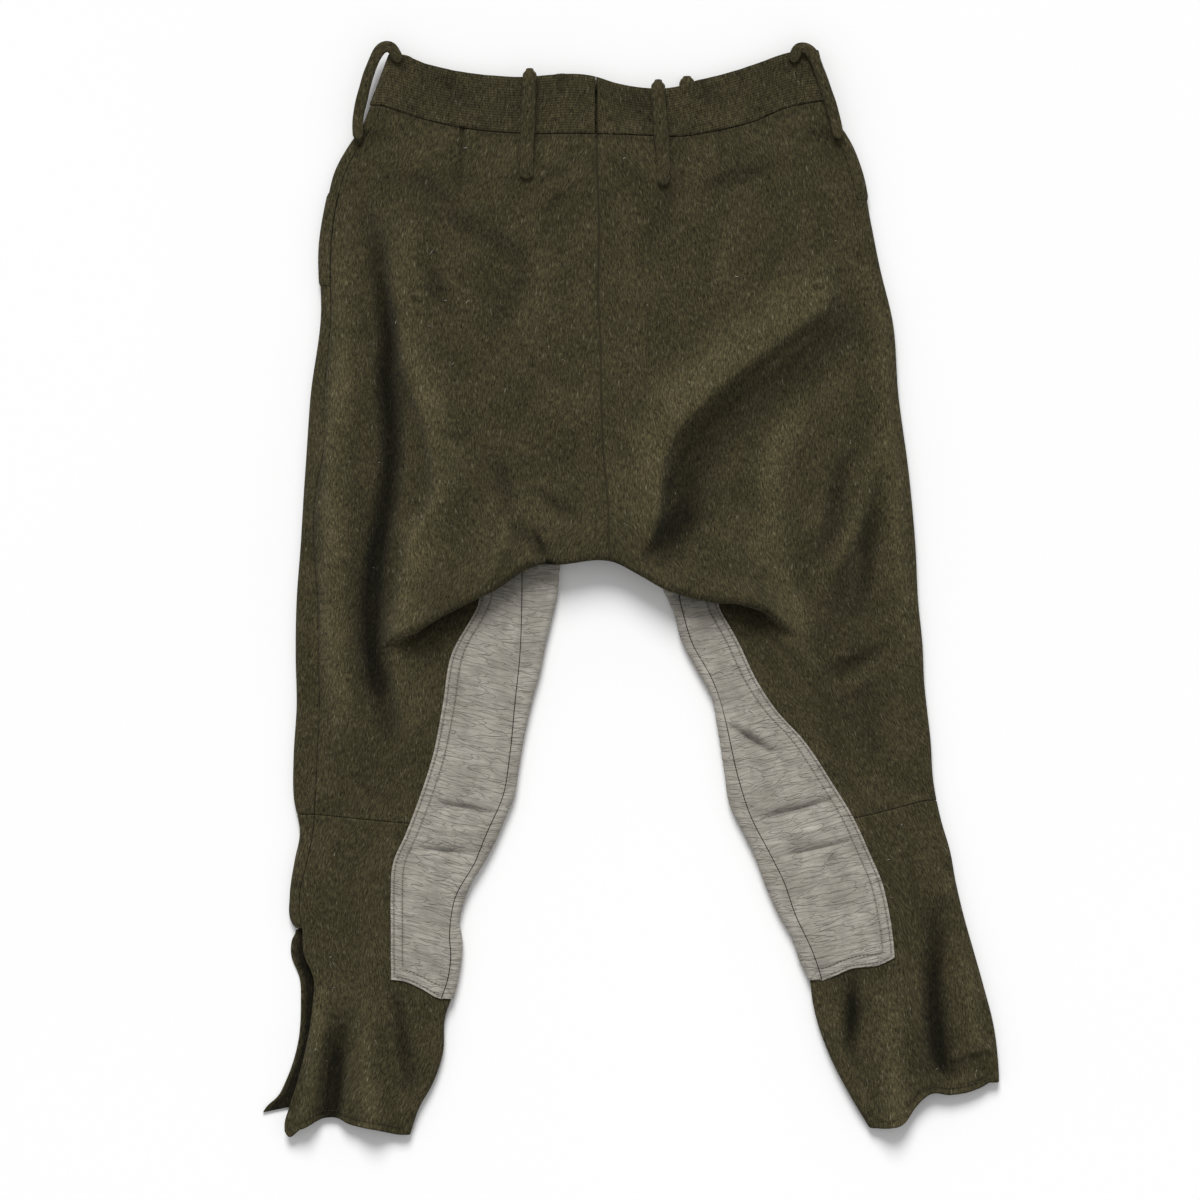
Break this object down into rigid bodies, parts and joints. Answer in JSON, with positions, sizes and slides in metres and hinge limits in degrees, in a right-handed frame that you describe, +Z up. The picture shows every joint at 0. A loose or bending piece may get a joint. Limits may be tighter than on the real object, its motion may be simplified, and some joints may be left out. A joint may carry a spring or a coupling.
{
  "type": "riding breeches",
  "caption": "Napped wool riding breeches laid flat, back side up, with seat fold, inner knee strappings, belt loops and open calf placket.",
  "frame": {"origin": "middle of the laid garment's plan, on the surface it lies on", "axes": "+Z up out of the back side, +Y towards the waist, +X to the right as the back is seen"},
  "size_m": [0.6346, 0.9446, 0.0361],
  "materials": {
    "wool": "olive brown napped heavy wool",
    "strapping": "brushed grey cotton with a soft mauve cast"
  },
  "bodies": {
    "root": {"back_left": "wool", "back_right": "wool", "front_left": "wool", "front_right": "wool", "calf_back_left": "wool", "calf_back_right": "wool", "calf_front_left": "wool", "calf_front_right": "wool", "placket_left": "wool", "waistband_left": "wool", "waistband_right": "wool", "belt_loop_back_left": "wool", "belt_loop_back_right": "wool", "belt_loop_side_left": "wool", "belt_loop_side_right": "wool", "belt_loop_front_left": "wool", "belt_loop_front_right": "wool", "pocket_welt_left": "wool", "pocket_welt_right": "wool", "strapping_back_left": "strapping", "strapping_back_right": "strapping", "strapping_front_left": "strapping", "strapping_front_right": "strapping"}
  },
  "joints": []
}
